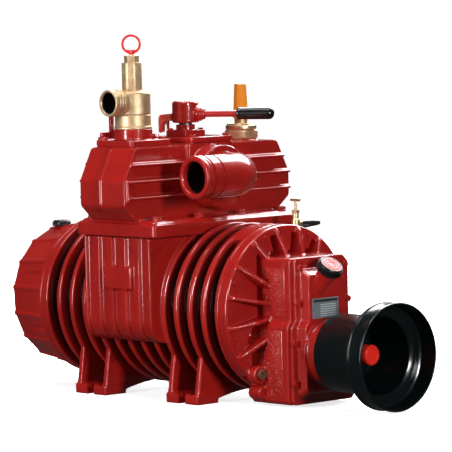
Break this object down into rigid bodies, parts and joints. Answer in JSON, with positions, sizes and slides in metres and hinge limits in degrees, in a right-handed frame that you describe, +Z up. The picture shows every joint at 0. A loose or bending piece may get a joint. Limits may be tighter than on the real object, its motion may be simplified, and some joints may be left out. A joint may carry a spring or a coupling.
{
  "type": "rotary vane vacuum pump",
  "caption": "Finned rotary vane vacuum pump with step-up gearbox, guarded splined input shaft, changeover lever, brass relief valve, vacuum valve and hose elbows.",
  "frame": {"origin": "centre of the four foot slots, on the plane that the feet stand on", "axes": "+X along the shafts towards the drive end, +Y towards the side with the vacuum valve, +Z up"},
  "size_m": [1.0237, 0.472, 0.761],
  "materials": {
    "red_enamel": "glossy",
    "bright_red_plastic": "glossy",
    "black_plastic": "glossy",
    "black_rubber": "satin",
    "orange_plastic": "satin",
    "cast_brass": "satin",
    "machined_steel": "satin",
    "zinc_steel": "satin",
    "cast_iron": "machined",
    "aluminium_plate": "satin",
    "vane_laminate": "matte",
    "gasket_paper": "matte",
    "sight_glass": "clear"
  },
  "bodies": {
    "pump": {"casing": "red_enamel", "foot_webs": "red_enamel", "foot_pads": "red_enamel", "casing_end_screws": "red_enamel", "front_housing": "red_enamel", "gear_case_cover": "red_enamel", "gear_case_screws": "red_enamel", "data_plate": "aluminium_plate", "gear_drain_plug": "zinc_steel", "shaft_guard": "black_plastic", "rear_bearing_plate": "red_enamel", "oil_tank": "red_enamel", "oil_tank_drain_plug": "zinc_steel", "oil_sight_glass": "sight_glass", "oil_pump_body": "cast_iron", "manifold_gasket": "gasket_paper", "manifold": "red_enamel", "manifold_screws": "red_enamel", "front_elbow": "red_enamel", "chest_screws": "red_enamel", "rear_elbow": "red_enamel", "changeover_gland": "red_enamel", "gland_screws": "red_enamel", "changeover_cover": "red_enamel", "relief_flange": "red_enamel", "relief_body": "cast_brass", "relief_bonnet": "cast_brass", "relief_adjuster": "cast_brass", "relief_spring": "machined_steel", "vacuum_valve_body": "cast_brass", "vacuum_valve_nut": "cast_brass", "vacuum_valve_spring": "machined_steel", "needle_cock": "cast_brass", "hose_nipple": "cast_brass", "hose": "black_rubber", "rotor_front_bearing": "machined_steel", "rotor_rear_bearing": "machined_steel", "input_rear_bearing": "machined_steel", "input_front_bearing": "machined_steel", "rotor_shaft_seal": "black_rubber", "input_shaft_seal": "black_rubber"},
    "rotor": {"rotor": "machined_steel", "rotor_vanes": "vane_laminate", "rotor_pinion": "machined_steel", "oil_pump_rotor": "machined_steel"},
    "input": {"input_shaft": "machined_steel", "input_gear": "machined_steel"},
    "pto_cap": {"pto_cap": "bright_red_plastic"},
    "changeover": {"changeover_plug": "cast_iron", "lever_hub": "red_enamel", "lever_bar": "red_enamel", "lever_grip": "black_plastic"},
    "relief": {"relief_disc": "cast_brass", "relief_pull_ring": "bright_red_plastic"},
    "vacuum_poppet": {"vacuum_valve_poppet": "cast_brass"},
    "vacuum_knob": {"vacuum_valve_knob": "orange_plastic"},
    "cock_handle": {"cock_handle": "cast_brass"},
    "gear_oil_cap": {"gear_oil_cap": "black_plastic"},
    "oil_tank_cap": {"oil_tank_cap": "black_plastic"}
  },
  "joints": [
    {"name": "rotor_spin", "type": "hinge", "parent": "pump", "child": "rotor", "pos_m": [0, 0, 0.2156], "axis": [1, 0, 0], "continuous": true},
    {"name": "input_spin", "type": "hinge", "parent": "pump", "child": "input", "pos_m": [0.4, 0, 0.1116], "axis": [1, 0, 0], "continuous": true},
    {"name": "pto_cap_pull", "type": "slide", "parent": "input", "child": "pto_cap", "axis": [1, 0, 0], "range_m": [0, 0.09]},
    {"name": "changeover_turn", "type": "hinge", "parent": "pump", "child": "changeover", "pos_m": [0, 0, 0.56], "axis": [0, 0, 1], "range_deg": [-90, 0]},
    {"name": "relief_lift", "type": "slide", "parent": "pump", "child": "relief", "axis": [0, 0, 1], "range_m": [0, 0.007], "stiffness_N_per_m": 4000, "springref_m": -0.01, "deforming": ["relief_spring"]},
    {"name": "vacuum_poppet_drop", "type": "slide", "parent": "pump", "child": "vacuum_poppet", "axis": [0, 0, -1], "range_m": [0, 0.005], "stiffness_N_per_m": 1500, "springref_m": -0.006, "deforming": ["vacuum_valve_spring"]},
    {"name": "vacuum_knob_turn", "type": "hinge", "parent": "pump", "child": "vacuum_knob", "pos_m": [0.006, 0.155, 0.6], "axis": [0, 0, 1], "range_deg": [-180, 180]},
    {"name": "cock_handle_turn", "type": "hinge", "parent": "pump", "child": "cock_handle", "pos_m": [0.206, 0.118, 0.396], "axis": [0, 0, 1], "range_deg": [0, 360]},
    {"name": "gear_oil_cap_lift", "type": "slide", "parent": "pump", "child": "gear_oil_cap", "axis": [0.7071, 0, 0.7071], "range_m": [0, 0.03]},
    {"name": "oil_tank_cap_lift", "type": "slide", "parent": "pump", "child": "oil_tank_cap", "axis": [0, 0, 1], "range_m": [0, 0.03]}
  ],
  "couplings": [
    {"joint": "input_spin", "follows": "rotor_spin", "ratio": -0.48571}
  ]
}
